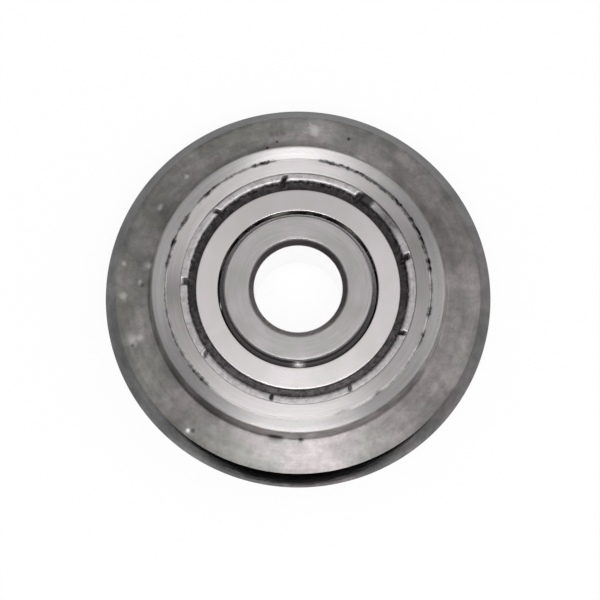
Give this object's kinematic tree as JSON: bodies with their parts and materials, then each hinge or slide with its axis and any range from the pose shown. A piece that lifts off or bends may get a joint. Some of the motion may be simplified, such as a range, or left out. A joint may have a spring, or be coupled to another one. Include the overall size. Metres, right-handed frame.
{
  "type": "carbide cutting wheel",
  "caption": "Carbide scoring wheel with a V-shaped cutting edge and raised bosses, pressed on to a shielded ball bearing that turns freely on an axle pin.",
  "frame": {"origin": "centre of the axle hole at the bearing's rear face, which the wheel lies on", "axes": "+Z along the axle hole, out of the front face that the picture shows; the cutting edge runs round the plane Z = 2.5 mm; +Y points to the top of the picture"},
  "size_m": [0.022, 0.022, 0.005],
  "materials": {
    "carbide": "ground sintered carbide, satin grey, handled and specked",
    "race_steel": "ground bearing steel",
    "shield_steel": "bright pressed sheet, dark in the crimped channel",
    "cage_steel": "pressed strip under a film of grease",
    "ball_steel": "lapped"
  },
  "bodies": {
    "hub": {"inner_race": "race_steel"},
    "wheel": {"cutting_wheel": "carbide", "outer_race": "race_steel", "shield_front": "shield_steel", "shield_rear": "shield_steel"},
    "cage": {"cage_front": "cage_steel", "cage_rear": "cage_steel", "rivet_1": "cage_steel", "rivet_2": "cage_steel", "rivet_3": "cage_steel", "rivet_4": "cage_steel", "rivet_5": "cage_steel", "rivet_6": "cage_steel", "rivet_7": "cage_steel"},
    "ball_1_body": {"ball_1": "ball_steel"},
    "ball_2_body": {"ball_2": "ball_steel"},
    "ball_3_body": {"ball_3": "ball_steel"},
    "ball_4_body": {"ball_4": "ball_steel"},
    "ball_5_body": {"ball_5": "ball_steel"},
    "ball_6_body": {"ball_6": "ball_steel"},
    "ball_7_body": {"ball_7": "ball_steel"}
  },
  "joints": [
    {"name": "wheel_spin", "type": "hinge", "parent": "hub", "child": "wheel", "pos_m": [0, 0, 0.0025], "axis": [0, 0, 1], "continuous": true},
    {"name": "cage_spin", "type": "hinge", "parent": "hub", "child": "cage", "pos_m": [0, 0, 0.0025], "axis": [0, 0, 1], "continuous": true},
    {"name": "ball_1_spin", "type": "hinge", "parent": "cage", "child": "ball_1_body", "pos_m": [0.00525, 0, 0.0025], "axis": [0, 0, 1], "continuous": true},
    {"name": "ball_2_spin", "type": "hinge", "parent": "cage", "child": "ball_2_body", "pos_m": [0.00327, 0.0041, 0.0025], "axis": [0, 0, 1], "continuous": true},
    {"name": "ball_3_spin", "type": "hinge", "parent": "cage", "child": "ball_3_body", "pos_m": [-0.00117, 0.00512, 0.0025], "axis": [0, 0, 1], "continuous": true},
    {"name": "ball_4_spin", "type": "hinge", "parent": "cage", "child": "ball_4_body", "pos_m": [-0.00473, 0.00228, 0.0025], "axis": [0, 0, 1], "continuous": true},
    {"name": "ball_5_spin", "type": "hinge", "parent": "cage", "child": "ball_5_body", "pos_m": [-0.00473, -0.00228, 0.0025], "axis": [0, 0, 1], "continuous": true},
    {"name": "ball_6_spin", "type": "hinge", "parent": "cage", "child": "ball_6_body", "pos_m": [-0.00117, -0.00512, 0.0025], "axis": [0, 0, 1], "continuous": true},
    {"name": "ball_7_spin", "type": "hinge", "parent": "cage", "child": "ball_7_body", "pos_m": [0.00327, -0.0041, 0.0025], "axis": [0, 0, 1], "continuous": true}
  ],
  "couplings": [
    {"joint": "cage_spin", "follows": "wheel_spin", "ratio": 0.63333},
    {"joint": "ball_1_spin", "follows": "wheel_spin", "ratio": 1.7605},
    {"joint": "ball_2_spin", "follows": "wheel_spin", "ratio": 1.7605},
    {"joint": "ball_3_spin", "follows": "wheel_spin", "ratio": 1.7605},
    {"joint": "ball_4_spin", "follows": "wheel_spin", "ratio": 1.7605},
    {"joint": "ball_5_spin", "follows": "wheel_spin", "ratio": 1.7605},
    {"joint": "ball_6_spin", "follows": "wheel_spin", "ratio": 1.7605},
    {"joint": "ball_7_spin", "follows": "wheel_spin", "ratio": 1.7605}
  ]
}
